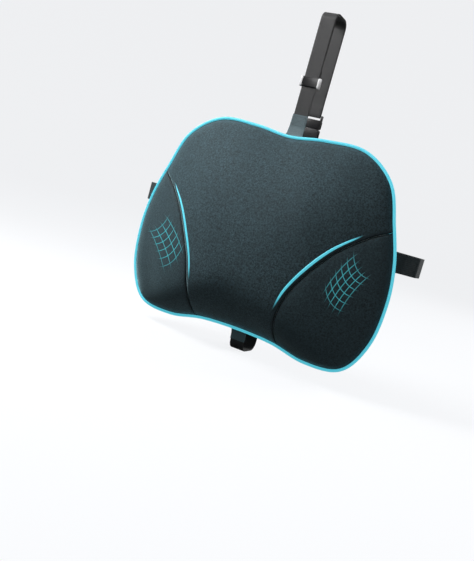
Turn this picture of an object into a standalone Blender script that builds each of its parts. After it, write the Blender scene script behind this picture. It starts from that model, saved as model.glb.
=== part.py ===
"""Lumbar support cushion with a strap over the chair back and a belt round it.

Frame: X is lateral, -Y is the sitter's side, +Z is up. The flat back of the
cushion is the plane Y = 0, and the origin is the middle of that face.
"""
import math

import bmesh
import bpy
import numpy as np
from mathutils import Matrix, Vector

MM = 0.001
GAP = 0.3 * MM            # clearance between touching pieces

# ---- cushion -------------------------------------------------------------
SEAM_Y = -22 * MM         # plane of the perimeter seam and its piping
FRONT_CROWN = 72 * MM     # how far the front swells ahead of the seam plane
BACK_BEVEL = 20 * MM      # width of the rounded rim round the flat back
CROWN_POWER = 2.2         # 2 is a paraboloid, more is fuller
CROWN_X, CROWN_Z = 0.0, -60 * MM     # the lumbar apex
COVER = 1.6 * MM
LINER = 0.7 * MM
SPACER_MESH = 5.0 * MM
PIPING_R = 2.5 * MM
OUTLINE_STEPS = 3         # outline stations from one control point to the next
CROWN_RINGS = (0.18, 0.36, 0.53, 0.69, 0.83, 0.93, 1.0)
BEVEL_STEPS = 4

# Right half of the outline in X, Z (mm), from the bottom centre to the top centre.
HALF_OUTLINE = [(0, -150), (65, -153), (125, -164), (182, -156), (212, -108), (220, -44),
                (214, 14), (197, 70), (174, 128), (125, 163), (60, 165), (0, 159)]
# Seam between the centre panel and the right wing in X, Z (mm), from the side down.
WING_SEAM = [(246, 100), (208, 66), (172, 42), (136, 8), (108, -32), (90, -66),
             (80, -100), (76, -132), (76, -190)]
TRIM_OFFSET = 6.5 * MM    # from the wing seam to the middle of its trim
TRIM_WIDTH = 4.0 * MM

# ---- zip in the back -----------------------------------------------------
ZIP_Z = -112 * MM
ZIP_HALF = 156 * MM
ZIP_SLOT_HALF = 13.3 * MM
ZIP_PARK_X = 138 * MM     # middle of the zip slider when the zip is closed

# ---- straps --------------------------------------------------------------
WEB_T = 1.1 * MM
STRAP_W = 25 * MM
BELT_W = 30 * MM
STRAP_FRONT_Y = -3.4 * MM
STRAP_REAR_Y = 48 * MM
STRAP_TOP_Z = 366 * MM
STRAP_BOTTOM_Z = -190 * MM
STRAP_ADJUSTER_Z = 253 * MM
STRAP_BUCKLE_Z = 190 * MM
BELT_Z = 20 * MM
BELT_REAR_Y = 43 * MM
BELT_SIDE_X = 244 * MM
BELT_ADJUSTER_X = -110 * MM
BELT_BUCKLE_X = 56 * MM
# Depths of the layers, counted from the outer layer's middle towards the chair.
END_V = 1.45 * MM         # the web's sewn end, and the middle of a buckle
RETURN_V = 2.9 * MM       # the returning layer
TAIL_V = 5.2 * MM         # the folded tail behind the adjuster's bar
BAR_R = 1.15 * MM         # web bars of the buckles
PLUG_BAR_U = -20.8 * MM   # along the strap, counted from the plug's shoulder
SOCKET_BAR_U = 30.9 * MM
RELEASE = 26 * MM         # travel that pulls a buckle apart


def clear_scene():
    for obj in list(bpy.data.objects):
        bpy.data.objects.remove(obj, do_unlink=True)


LOOKS = {                 # linear colour, roughness, metallic
    "foam": ((0.62, 0.58, 0.47), 0.90, 0.0),
    "liner": ((0.55, 0.56, 0.55), 0.85, 0.0),
    "cover": ((0.030, 0.047, 0.055), 0.75, 0.0),
    "wing": ((0.022, 0.034, 0.040), 0.80, 0.0),
    "spacer": ((0.012, 0.014, 0.016), 0.90, 0.0),
    "piping": ((0.10, 0.66, 0.78), 0.50, 0.0),
    "trim": ((0.12, 0.70, 0.82), 0.45, 0.0),
    "zip": ((0.015, 0.016, 0.018), 0.60, 0.0),
    "zip_metal": ((0.10, 0.10, 0.11), 0.35, 1.0),
    "tab": ((0.07, 0.12, 0.14), 0.70, 0.0),
    "web": ((0.045, 0.045, 0.048), 0.70, 0.0),
    "belt": ((0.018, 0.026, 0.030), 0.70, 0.0),
    "plastic": ((0.012, 0.012, 0.013), 0.35, 0.0),
}


# ---- mesh helpers --------------------------------------------------------
def dress(obj, look):
    colour, roughness, metallic = LOOKS[look]
    mat = bpy.data.materials.new(obj.name)
    mat.use_nodes = True
    shader = mat.node_tree.nodes["Principled BSDF"]
    shader.inputs["Base Color"].default_value = (*colour, 1.0)
    shader.inputs["Roughness"].default_value = roughness
    shader.inputs["Metallic"].default_value = metallic
    obj.data.materials.append(mat)


def add_solid(name, verts, faces, look, smooth_deg=0.0):
    mesh = bpy.data.meshes.new(name)
    mesh.from_pydata([tuple(map(float, v)) for v in verts], [], faces)
    bm = bmesh.new()
    bm.from_mesh(mesh)
    bmesh.ops.recalc_face_normals(bm, faces=bm.faces)
    bm.to_mesh(mesh)
    bm.free()
    if smooth_deg:
        mesh.shade_smooth()
        mesh.set_sharp_from_angle(angle=math.radians(smooth_deg))
    obj = bpy.data.objects.new(name, mesh)
    bpy.context.collection.objects.link(obj)
    dress(obj, look)
    return obj


def combine(obj, tool, operation):
    """Boolean a hidden tool into obj."""
    tool.hide_render = True
    tool.display_type = "WIRE"
    mod = obj.modifiers.new(operation.lower(), "BOOLEAN")
    mod.object = tool
    mod.operation = operation


def prism(name, outline, low, high, place, look):
    """Extrude a closed outline of (a, b) points from depth low to high.

    place(a, b, depth) gives the point in the object's frame.
    """
    n = len(outline)
    verts = [place(a, b, low) for a, b in outline] + [place(a, b, high) for a, b in outline]
    faces = [tuple(range(n)), tuple(range(2 * n - 1, n - 1, -1))]
    faces += [(i, (i + 1) % n, n + (i + 1) % n, n + i) for i in range(n)]
    return add_solid(name, verts, faces, look)


def rectangle(low_a, high_a, low_b, high_b):
    return [(low_a, low_b), (high_a, low_b), (high_a, high_b), (low_a, high_b)]


def chamfered(low_a, high_a, low_b, high_b, cut):
    return [(low_a + cut, low_b), (high_a - cut, low_b), (high_a, low_b + cut), (high_a, high_b - cut),
            (high_a - cut, high_b), (low_a + cut, high_b), (low_a, high_b - cut), (low_a, low_b + cut)]


def circle(a, b, radius, sides=8):
    turn = 2 * math.pi / sides
    return [(a + radius * math.cos((i + 0.5) * turn), b + radius * math.sin((i + 0.5) * turn))
            for i in range(sides)]


def along_x(a, b, depth):
    return (depth, a, b)


def along_y(a, b, depth):
    return (a, depth, b)


def set_origin(obj, point):
    """Move the object's origin to its joint axis and leave the mesh in place."""
    obj.data.transform(Matrix.Translation(-Vector(point)))
    obj.location = point


# ---- the cushion's outline and crowned surfaces --------------------------
def smooth_curve(points, steps, closed):
    """Catmull-Rom curve through the points, with a few stations to each."""
    pts = [np.array(p, float) for p in points]
    count = len(pts)
    if not closed:
        pts = [2 * pts[0] - pts[1]] + pts + [2 * pts[-1] - pts[-2]]
    curve = []
    for i in range(count if closed else count - 1):
        if closed:
            p0, p1, p2, p3 = (pts[(i + k) % count] for k in (-1, 0, 1, 2))
        else:
            p0, p1, p2, p3 = pts[i:i + 4]
        for t in np.arange(steps) / steps:
            curve.append(0.5 * (2 * p1 + (p2 - p0) * t + (2 * p0 - 5 * p1 + 4 * p2 - p3) * t ** 2
                                + (3 * p1 - p0 - 3 * p2 + p3) * t ** 3))
    if not closed:
        curve.append(pts[-2])
    return np.array(curve)


def cushion_outline():
    right = [(x * MM, z * MM) for x, z in HALF_OUTLINE]
    left = [(-x, z) for x, z in reversed(right[1:-1])]
    return smooth_curve(right + left, OUTLINE_STEPS, closed=True)


OUTLINE = cushion_outline()
APEX = np.array([CROWN_X, CROWN_Z])


def inset(distance):
    """The outline drawn in towards the apex by a distance."""
    spokes = OUTLINE - APEX
    reach = np.linalg.norm(spokes, axis=1, keepdims=True)
    return APEX + spokes * (1 - distance / reach)


def outset(distance):
    """The outline moved outwards along its normals."""
    along = np.roll(OUTLINE, -1, axis=0) - np.roll(OUTLINE, 1, axis=0)
    outward = np.stack([along[:, 1], -along[:, 0]], axis=1)
    return OUTLINE + outward / np.linalg.norm(outward, axis=1, keepdims=True) * distance


def ring(curve, y):
    return [(x, y, z) for x, z in curve]


def front_rings(edge, depth):
    """Rings of the crowned front from the apex out, inset by edge and depth."""
    rim_y = SEAM_Y - GAP / 2
    rings = []
    for rho in CROWN_RINGS:
        y = rim_y - (FRONT_CROWN - depth) * (1 - rho ** CROWN_POWER)
        rings.append(ring(APEX + (inset(edge) - APEX) * rho, y))
    return (CROWN_X, rim_y - (FRONT_CROWN - depth), CROWN_Z), rings


def back_rings(edge, depth):
    """Rings of the flat back from the seam in, with a quarter-round rim."""
    rim_y = SEAM_Y + GAP / 2
    flat_y = -depth
    rings = []
    for step in range(BEVEL_STEPS + 1):
        angle = 0.5 * math.pi * step / BEVEL_STEPS
        curve = inset(edge + BACK_BEVEL * (1 - math.cos(angle)))
        rings.append(ring(curve, rim_y + (flat_y - rim_y) * math.sin(angle)))
    return (CROWN_X, flat_y, CROWN_Z), rings


def spindle(name, first, rings, last, look):
    """Close a run of rings with a point at each end."""
    n = len(rings[0])
    verts = [first] + [v for r in rings for v in r] + [last]
    faces = [(0, 1 + i, 1 + (i + 1) % n) for i in range(n)]
    for k in range(len(rings) - 1):
        base = 1 + k * n
        for i in range(n):
            j = (i + 1) % n
            faces.append((base + i, base + n + i, base + n + j, base + j))
    base = 1 + (len(rings) - 1) * n
    faces += [(base + (i + 1) % n, base + i, len(verts) - 1) for i in range(n)]
    return add_solid(name, verts, faces, look, smooth_deg=35)


def shell(name, surface, outer, thickness, look):
    """A skin between two insets of one surface; outer is (edge, depth)."""
    out_tip, out_rings = surface(*outer)
    in_tip, in_rings = surface(outer[0] + thickness, outer[1] + thickness)
    if surface is back_rings:
        return spindle(name, out_tip, out_rings[::-1] + in_rings, in_tip, look)
    return spindle(name, out_tip, out_rings + in_rings[::-1], in_tip, look)


def front_surface_y(x, z):
    """Y of the cover's smooth front at a point of the front view."""
    spokes = OUTLINE - APEX
    bearing = np.arctan2(spokes[:, 1], spokes[:, 0])
    order = np.argsort(bearing)
    reach = np.interp(math.atan2(z - CROWN_Z, x - CROWN_X), bearing[order],
                      np.linalg.norm(spokes, axis=1)[order], period=2 * math.pi)
    rho = min(1.0, math.hypot(x - CROWN_X, z - CROWN_Z) / reach)
    return SEAM_Y - GAP / 2 - FRONT_CROWN * (1 - rho ** CROWN_POWER)


# ---- cushion pieces ------------------------------------------------------
def wing_tool(name, side, shift):
    """Prism over the area outside a wing seam; shift moves the seam in X."""
    seam = smooth_curve([(x * MM + shift, z * MM) for x, z in WING_SEAM], 3, closed=False)
    far = 300 * MM
    area = [(side * x, z) for x, z in seam] + [(side * far, -190 * MM), (side * far, 100 * MM)]
    return prism(name, area, -130 * MM, 5 * MM, along_y, "wing")


def make_front_cover():
    surface = (front_rings, (0.0, 0.0), COVER)
    centre = shell("cover_center_panel", *surface, "cover")
    for side, label in ((-1, "left"), (1, "right")):
        combine(centre, wing_tool("centre_cut_" + label, side, -GAP / 2), "DIFFERENCE")
        wing = shell("cover_wing_" + label, *surface, "wing")
        combine(wing, wing_tool("wing_keep_" + label, side, GAP / 2), "INTERSECT")


def make_wing_trim(side, label):
    seam = smooth_curve([(x * MM, z * MM) for x, z in WING_SEAM[2:-2]], 4, closed=False)
    along = np.gradient(seam, axis=0)
    across = np.stack([along[:, 1], -along[:, 0]], axis=1)
    across /= np.linalg.norm(across, axis=1, keepdims=True)
    verts, faces = [], []
    for i, (point, sideways) in enumerate(zip(seam, across)):
        t = i / (len(seam) - 1)
        half = 0.5 * TRIM_WIDTH * (0.25 + 0.75 * math.sin(math.pi * t) ** 0.6)
        for offset in (TRIM_OFFSET - half, TRIM_OFFSET + half):
            x, z = point + sideways * offset
            base = front_surface_y(x, z) - 2 * GAP
            verts += [(side * x, base, z), (side * x, base - 1.0 * MM, z)]
        if i:
            a, b = 4 * (i - 1), 4 * i
            faces += [(a, a + 1, b + 1, b), (a + 1, a + 3, b + 3, b + 1),
                      (a + 3, a + 2, b + 2, b + 3), (a + 2, a, b, b + 2)]
    end = len(verts) - 4
    faces += [(0, 2, 3, 1), (end, end + 1, end + 3, end + 2)]
    add_solid("wing_trim_" + label, verts, faces, "trim")


def make_filling():
    edge = COVER + LINER + 2 * GAP
    back_depth = SPACER_MESH + LINER + 2 * GAP
    tip, rings = front_rings(back_depth, edge)
    back_tip, back = back_rings(back_depth, back_depth)
    spindle("foam_core", tip, rings + back, back_tip, "foam")
    shell("liner_front", front_rings, (COVER + GAP, COVER + GAP), LINER, "liner")
    inner = SPACER_MESH + GAP
    shell("liner_back", back_rings, (inner, inner), LINER, "liner")


def make_back_panel():
    panel = shell("cover_back_mesh", back_rings, (0.0, 0.0), SPACER_MESH, "spacer")
    slot = rectangle(-ZIP_HALF, ZIP_HALF, ZIP_Z - ZIP_SLOT_HALF, ZIP_Z + ZIP_SLOT_HALF)
    combine(panel, prism("zip_slot", slot, -SPACER_MESH - 1 * MM, 1 * MM, along_y, "spacer"), "DIFFERENCE")


def make_piping():
    path = outset(PIPING_R + 2 * GAP)
    curve = bpy.data.curves.new("edge_piping", "CURVE")
    curve.dimensions = "3D"
    curve.bevel_depth = PIPING_R
    curve.bevel_resolution = 2
    spline = curve.splines.new("POLY")
    spline.points.add(len(path) - 1)
    for point, (x, z) in zip(spline.points, path):
        point.co = (x, SEAM_Y, z, 1.0)
    spline.use_cyclic_u = True
    obj = bpy.data.objects.new("edge_piping", curve)
    bpy.context.collection.objects.link(obj)
    dress(obj, "piping")


def make_zip():
    for side, label in ((1, "upper"), (-1, "lower")):
        band = sorted((ZIP_Z + side * 1.0 * MM, ZIP_Z + side * 13.0 * MM))
        prism("zip_tape_" + label, rectangle(-4.9 * MM, -4.2 * MM, *band),
              -ZIP_HALF + GAP, ZIP_HALF - GAP, along_x, "zip")
        coil = sorted((ZIP_Z + side * 0.25 * MM, ZIP_Z + side * 2.5 * MM))
        prism("zip_coil_" + label, chamfered(-3.9 * MM, -2.7 * MM, *coil, 0.4 * MM),
              -142 * MM, 148 * MM, along_x, "zip")
    for low, high, label in ((-145.0 * MM, -142.4 * MM, "left"), (148.4 * MM, 151.0 * MM, "right")):
        block = chamfered(-3.9 * MM, -2.2 * MM, ZIP_Z - 2.8 * MM, ZIP_Z + 2.8 * MM, 0.5 * MM)
        prism("zip_stop_" + label, block, low, high, along_x, "zip_metal")

    plate = chamfered(ZIP_PARK_X - 6 * MM, ZIP_PARK_X + 6 * MM, ZIP_Z - 4.6 * MM, ZIP_Z + 4.6 * MM, 2 * MM)
    slider = prism("zip_slider", plate, -2.4 * MM, -1.2 * MM, along_y, "zip_metal")
    for side, label in ((-1, "lower"), (1, "upper")):
        post_z = ZIP_Z + side * 3.2 * MM
        post = rectangle(ZIP_PARK_X - 1.2 * MM, ZIP_PARK_X + 1.2 * MM, post_z - 0.6 * MM, post_z + 0.6 * MM)
        combine(slider, prism("post_" + label, post, -1.6 * MM, -0.1 * MM, along_y, "zip_metal"), "UNION")

    pull = prism("zip_pull", chamfered(ZIP_PARK_X - 20 * MM, ZIP_PARK_X + 0.4 * MM,
                                       ZIP_Z - 2.2 * MM, ZIP_Z + 2.2 * MM, 0.5 * MM),
                 -0.9 * MM, -0.1 * MM, along_y, "zip_metal")
    set_origin(pull, (ZIP_PARK_X, -0.5 * MM, ZIP_Z))


# ---- webbing -------------------------------------------------------------
def filleted(points, radius, steps=5):
    """Polyline through the points with its inner corners rounded."""
    pts = [np.array(p, float) for p in points]
    route = [pts[0]]
    for before, corner, after in zip(pts, pts[1:], pts[2:]):
        back = (before - corner) / np.linalg.norm(before - corner)
        on = (after - corner) / np.linalg.norm(after - corner)
        half = 0.5 * math.acos(max(-1.0, min(1.0, float(back @ on))))
        reach = radius / math.tan(half)
        start, end = corner + back * reach, corner + on * reach
        bisector = (back + on) / np.linalg.norm(back + on)
        centre = corner + bisector * radius / math.sin(half)
        sweep = math.pi - 2 * half
        for k in range(steps + 1):
            s = k / steps
            a, b = math.sin((1 - s) * sweep) / math.sin(sweep), math.sin(s * sweep) / math.sin(sweep)
            route.append(centre + (start - centre) * a + (end - centre) * b)
    route.append(pts[-1])
    return route


def ribbon(name, route, place, width, look, end_width=None, thickness=WEB_T):
    """Flat band along a route of (a, b) points; place(a, b, w) sets it in space."""
    pts = np.array(route, float)
    ways = np.gradient(pts, axis=0)
    ways /= np.linalg.norm(ways, axis=1, keepdims=True)
    normals = np.stack([-ways[:, 1], ways[:, 0]], axis=1)
    verts, faces = [], []
    for i, (point, normal) in enumerate(zip(pts, normals)):
        share = i / (len(pts) - 1)
        half = 0.5 * (width + ((end_width or width) - width) * share)
        for a, b in (point - normal * thickness / 2, point + normal * thickness / 2):
            verts += [place(a, b, -half), place(a, b, half)]
        if i:
            p, q = 4 * (i - 1), 4 * i
            faces += [(p, p + 1, q + 1, q), (p + 1, p + 3, q + 3, q + 1),
                      (p + 3, p + 2, q + 2, q + 3), (p + 2, p, q, q + 2)]
    end = len(verts) - 4
    faces += [(0, 2, 3, 1), (end, end + 1, end + 3, end + 2)]
    return add_solid(name, verts, faces, look, smooth_deg=30)


def half_turn(u, v, radius, ahead, steps=8):
    """Half circle round (u, v) from its -v side to its +v side, bulging ahead in u."""
    return [(u + ahead * radius * math.sin(math.pi * k / steps), v - radius * math.cos(math.pi * k / steps))
            for k in range(steps + 1)]


def strap_plane(y, z, w):
    return (w, y, z)


def belt_plane(x, y, w):
    return (x, y, BELT_Z + w)


# A buckle's own axes: u from plug to socket, v towards the chair, w across.
def strap_buckle(u, v, w):
    return (w, STRAP_REAR_Y - v, STRAP_BUCKLE_Z - u)


def belt_buckle(u, v, w):
    return (BELT_BUCKLE_X + u, BELT_REAR_Y - v, BELT_Z + w)


# An adjuster's own axes: s towards the buckle along the strap, v and w as above.
def strap_adjuster(s, v, w):
    return (w, STRAP_FRONT_Y + v, STRAP_ADJUSTER_Z + s)


def belt_adjuster(s, v, w):
    return (BELT_ADJUSTER_X + s, BELT_REAR_Y - v, BELT_Z + w)


def plug_turn():
    """Route round the plug's bar in u, v, spreading from the strap's two layers."""
    spread = BAR_R + GAP + WEB_T / 2 + 0.05 * MM
    near, far = PLUG_BAR_U - 21 * MM, PLUG_BAR_U - 11 * MM
    turn = half_turn(PLUG_BAR_U, END_V, spread, 1)
    return ([(near, 0.0), (far, END_V - spread)] + turn + [(far, END_V + spread), (near, RETURN_V)])


def looped_webbing(name, outer, inner, buckle, place, width, look):
    """One web: out along the outer layer, round the plug's bar and back inside."""
    turn = []
    for u, v in plug_turn():
        x, y, z = buckle(u, v, 0.0)
        turn.append((y, z) if place is strap_plane else (x, y))
    ribbon(name, list(outer) + turn + list(inner), place, width, look)


def make_web_end(name, adjuster, width, reach, look):
    """Sewn web end round the adjuster's bar, reaching on between the layers."""
    radius = (TAIL_V - END_V) / 2
    middle = (TAIL_V + END_V) / 2
    turn = half_turn(0.0, middle, radius, -1)
    route = [(reach, END_V), (4 * MM, END_V)] + turn + [(4 * MM, TAIL_V), (20 * MM, TAIL_V)]
    ribbon(name, route, adjuster, width, look)


def make_adjuster(name, adjuster, width):
    """Slide adjuster: two cheeks, a face plate over the web and a bar behind it."""
    inner, outer = width / 2 + 0.6 * MM, width / 2 + 4 * MM
    half = 8 * MM
    bar_v = (TAIL_V + END_V) / 2

    cheek = chamfered(-half, half, -2.6 * MM, bar_v + 1.2 * MM, 1.0 * MM)
    body = prism(name, cheek, inner, outer, adjuster, "plastic")
    combine(body, prism(name + "_cheek", cheek, -outer, -inner, adjuster, "plastic"), "UNION")
    plate = chamfered(-half + 0.8 * MM, half - 0.8 * MM, -2.2 * MM, -0.95 * MM, 0.4 * MM)
    combine(body, prism(name + "_plate", plate, -inner - 1 * MM, inner + 1 * MM, adjuster, "plastic"), "UNION")
    bar = prism(name + "_bar", circle(0.0, bar_v, 1.0 * MM), -inner - 1 * MM, inner + 1 * MM, adjuster, "plastic")
    combine(body, bar, "UNION")


def make_buckle(prefix, buckle, width, prong_names):
    half = width / 2 + 4.5 * MM

    def block(name, u, v, w, cut=0.0):
        """Box in the buckle's axes, given as three (low, high) pairs."""
        outline = chamfered(*u, *w, cut) if cut else rectangle(*u, *w)
        return prism(name, outline, END_V + v[0], END_V + v[1],
                     lambda a, b, depth: buckle(a, depth, b), "plastic")

    def bar(name, u):
        return prism(name, circle(u, END_V, BAR_R), -half + 1 * MM, half - 1 * MM,
                     lambda a, b, depth: buckle(a, b, depth), "plastic")

    plug = block(prefix + "_plug", (-14.5 * MM, 0.0), (-4.2 * MM, 4.2 * MM), (-half, half), 2.0 * MM)
    parts = [block(prefix + "_tongue", (-1 * MM, 20 * MM), (-1.6 * MM, 1.6 * MM), (-3 * MM, 3 * MM), 0.8 * MM),
             bar(prefix + "_plug_bar", PLUG_BAR_U)]
    for side in (-1, 1):
        arm = sorted((side * half, side * (half - 3.2 * MM)))
        label = "a" if side < 0 else "b"
        parts.append(block(f"{prefix}_plug_arm_{label}", (-22.4 * MM, -12 * MM), (-2.4 * MM, 2.4 * MM), arm))
    for tool in parts:
        combine(plug, tool, "UNION")

    socket = block(prefix + "_socket", (0.6 * MM, 25 * MM), (-4.6 * MM, 4.6 * MM), (-half, half), 1.6 * MM)
    cavity = block(prefix + "_cavity", (-2 * MM, 22.5 * MM), (-2.7 * MM, 2.7 * MM),
                   (-half + 2.9 * MM, half - 2.9 * MM))
    windows = block(prefix + "_windows", (8 * MM, 17.5 * MM), (-2.7 * MM, 2.7 * MM),
                    (-half - 3 * MM, half + 3 * MM))
    combine(socket, cavity, "DIFFERENCE")
    combine(socket, windows, "DIFFERENCE")
    combine(socket, bar(prefix + "_socket_bar", SOCKET_BAR_U), "UNION")
    for side in (-1, 1):
        arm = sorted((side * half, side * (half - 3.2 * MM)))
        label = "a" if side < 0 else "b"
        combine(socket, block(f"{prefix}_socket_arm_{label}", (23.5 * MM, 32.6 * MM), (-2.4 * MM, 2.4 * MM), arm),
                "UNION")

    for side, label in zip((-1, 1), prong_names):
        inner, outer, barb = half - 6.2 * MM, half - 3.6 * MM, half - 1.2 * MM
        shape = [(0.3 * MM, inner), (0.3 * MM, outer), (8.6 * MM, outer), (9.4 * MM, barb), (14.0 * MM, barb),
                 (20.0 * MM, outer - 0.8 * MM), (20.0 * MM, inner + 0.6 * MM)]
        prong = prism(f"{prefix}_prong_{label}", [(u, side * w) for u, w in shape], END_V - 2.2 * MM,
                      END_V + 2.2 * MM, lambda a, b, depth: buckle(a, depth, b), "plastic")
        set_origin(prong, buckle(1.6 * MM, END_V, side * (inner + outer) / 2))


def make_socket_loop(name, buckle, width, look):
    """Short sewn loop round the socket's bar, astride the web that it is sewn to."""
    spread = BAR_R + GAP + WEB_T / 2 + 0.05 * MM
    turn = half_turn(SOCKET_BAR_U, END_V, spread, -1)
    near, far = SOCKET_BAR_U + 11 * MM, SOCKET_BAR_U + 45 * MM
    route = ([(far, 0.0), (near, 0.0)] + turn + [(near, 2 * END_V), (far, 2 * END_V)])
    ribbon(name, route, buckle, width, look)


def make_strap():
    front, rear = STRAP_FRONT_Y, STRAP_REAR_Y
    top, turn_z = STRAP_TOP_Z, STRAP_BUCKLE_Z - PLUG_BAR_U + 26 * MM
    outer = filleted([(front, 176 * MM), (front, top), (rear, top), (rear, turn_z)], 14 * MM)
    inner = filleted([(rear - RETURN_V, turn_z), (rear - RETURN_V, top - RETURN_V),
                      (front + RETURN_V, top - RETURN_V),
                      (front + RETURN_V, STRAP_ADJUSTER_Z + 36 * MM)], 14 * MM - RETURN_V)
    looped_webbing("strap_webbing", outer, inner, strap_buckle, strap_plane, STRAP_W, "web")
    make_web_end("strap_web_end", strap_adjuster, STRAP_W, 58 * MM, "web")
    make_adjuster("strap_adjuster", strap_adjuster, STRAP_W)
    make_buckle("strap", strap_buckle, STRAP_W, ("left", "right"))
    make_socket_loop("strap_socket_loop", strap_buckle, STRAP_W, "web")

    middle = rear - END_V
    start = STRAP_BUCKLE_Z - SOCKET_BAR_U - RELEASE - 3 * MM
    lower = filleted([(middle, start), (middle, STRAP_BOTTOM_Z), (front, STRAP_BOTTOM_Z),
                      (front, -166 * MM)], 14 * MM)
    ribbon("strap_lower_webbing", lower, strap_plane, STRAP_W, "web")

    tab_y = front - 1.65 * MM
    upper_tab = filleted([(-18.4 * MM, 161.3 * MM), (-8 * MM, 166 * MM), (tab_y, 180 * MM),
                          (tab_y, 200 * MM)], 5 * MM, steps=3)
    ribbon("strap_tab_upper", upper_tab, strap_plane, 29 * MM, "tab", 26 * MM)
    lower_tab = filleted([(-18.4 * MM, -152.3 * MM), (-8 * MM, -156 * MM), (tab_y, -166 * MM),
                          (tab_y, -182 * MM + 8 * MM)], 4 * MM, steps=3)
    ribbon("strap_tab_lower", lower_tab, strap_plane, 29 * MM, "tab", 26 * MM)


def make_belt():
    rear, side = BELT_REAR_Y, BELT_SIDE_X
    turn_x = BELT_BUCKLE_X + PLUG_BAR_U - 26 * MM
    outer = filleted([(-217.4 * MM, -18.0 * MM), (-226 * MM, -6 * MM), (-side, 6 * MM), (-side, rear),
                      (turn_x, rear)], 9 * MM)
    inner = [(turn_x, rear - RETURN_V), (BELT_ADJUSTER_X + 46 * MM, rear - RETURN_V)]
    looped_webbing("belt_webbing_left", outer, inner, belt_buckle, belt_plane, BELT_W, "belt")
    make_web_end("belt_web_end", belt_adjuster, BELT_W, 100 * MM, "belt")
    make_adjuster("belt_adjuster", belt_adjuster, BELT_W)
    make_buckle("belt", belt_buckle, BELT_W, ("lower", "upper"))
    make_socket_loop("belt_socket_loop", belt_buckle, BELT_W, "belt")
    start = BELT_BUCKLE_X + SOCKET_BAR_U + RELEASE + 3 * MM
    right = filleted([(217.4 * MM, -18.0 * MM), (226 * MM, -6 * MM), (side, 6 * MM), (side, rear - END_V),
                      (start, rear - END_V)], 9 * MM)
    ribbon("belt_webbing_right", right, belt_plane, BELT_W, "belt")


def main():
    clear_scene()
    make_filling()
    make_front_cover()
    make_back_panel()
    make_piping()
    for side, label in ((-1, "left"), (1, "right")):
        make_wing_trim(side, label)
    make_zip()
    make_strap()
    make_belt()


main()
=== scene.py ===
"""Lumbar support cushion: visual pieces, materials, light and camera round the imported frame.

Frame: X is lateral, -Y is the sitter's side, +Z is up. The flat back is the plane Y = 0.
"""
import math

import bmesh
import bpy
import numpy as np
from mathutils import Matrix, Vector
from mathutils.bvhtree import BVHTree
from mathutils.geometry import delaunay_2d_cdt


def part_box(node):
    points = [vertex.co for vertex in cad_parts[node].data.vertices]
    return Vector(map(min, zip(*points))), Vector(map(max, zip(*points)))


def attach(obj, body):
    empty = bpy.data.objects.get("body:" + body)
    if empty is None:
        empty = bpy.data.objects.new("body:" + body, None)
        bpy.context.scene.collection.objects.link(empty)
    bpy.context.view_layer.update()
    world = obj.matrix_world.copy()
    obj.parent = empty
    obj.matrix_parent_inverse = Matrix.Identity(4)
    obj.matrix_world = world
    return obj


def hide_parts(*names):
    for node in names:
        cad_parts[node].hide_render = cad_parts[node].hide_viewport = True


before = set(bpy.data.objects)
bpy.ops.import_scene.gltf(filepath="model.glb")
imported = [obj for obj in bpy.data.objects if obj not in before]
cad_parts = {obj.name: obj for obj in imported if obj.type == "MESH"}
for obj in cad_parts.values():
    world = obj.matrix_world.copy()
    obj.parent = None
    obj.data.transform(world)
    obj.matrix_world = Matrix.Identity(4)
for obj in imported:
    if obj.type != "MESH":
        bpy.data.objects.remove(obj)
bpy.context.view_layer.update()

MM = 0.001
GAP = 0.3 * MM


def mm(*values):
    """Millimetres as metres."""
    return tuple(v * MM for v in values)


def mm_points(points):
    return [mm(*point) for point in points]


# ---- cushion -------------------------------------------------------------
SEAM_Y = -22 * MM         # plane of the perimeter seam
FRONT_CROWN = 72 * MM
BACK_BEVEL = 20 * MM
CROWN_POWER = 2.2
APEX = np.array([0.0, -60.0]) * MM
PIPING_R = 2.25 * MM
COVER = 1.5 * MM
HALF_OUTLINE = [(0, -150), (65, -153), (125, -164), (182, -156), (212, -108), (220, -44),
                (214, 14), (197, 70), (174, 128), (125, 163), (60, 165), (0, 159)]
WING_SEAM = [(246, 100), (208, 66), (172, 42), (136, 8), (108, -32), (90, -66),
             (80, -100), (76, -132), (76, -190)]
TRIM_OFFSET = 6.5 * MM
TRIM_WIDTH = 4.4 * MM
EDGE_REACH = 0.7 * MM     # the covers reach out to the piping by this much
PANEL_PITCH = 3.6 * MM
PANEL_ROWS = mm(1.1, 2.4, 4.2, 6.8)       # rows of vertices that follow a panel's edge
BACK_PITCH = 5.0 * MM
BACK_T = 2.4 * MM
LINER_T = 0.7 * MM
SLEEVE_JOINT = (0.0, -0.1531)             # where the piping sleeve's ends overlap
PIPING_FLANGE = mm(9, 0.10)               # width and half thickness

# ---- zip -----------------------------------------------------------------
ZIP_Z = -112 * MM
SLOT_HALF = mm(149.6, 5.4)
SLOT_SHIFT_X = 2.8 * MM
SLOT_CORNER = 3 * MM
ZIP_TAPE_W, ZIP_TAPE_T = mm(12, 0.7)

# ---- straps --------------------------------------------------------------
WEB_T = 1.1 * MM
STRAP_W = 25 * MM
BELT_W = 30 * MM
STRAP_BEND, BELT_BEND = mm(14, 7.5)       # bend radii
TAB_W, TAB_END_W = mm(29, 26)
STRAP_FRONT_Y = -3.4 * MM
STRAP_REAR_Y = 48 * MM
STRAP_TOP_Z = 366 * MM
STRAP_BOTTOM_Z = -190 * MM
STRAP_ADJUSTER_Z = 253 * MM
STRAP_BUCKLE_Z = 190 * MM
BELT_Z = 20 * MM
BELT_REAR_Y = 43 * MM
BELT_SIDE_X = 244 * MM
BELT_ADJUSTER_X = -110 * MM
BELT_BUCKLE_X = 56 * MM
END_V = 1.45 * MM
RETURN_V = 2.9 * MM
TAIL_V = 5.2 * MM
BAR_R = 1.15 * MM
PLUG_BAR_U = -20.8 * MM
SOCKET_BAR_U = 30.9 * MM
RELEASE = 26 * MM
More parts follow.
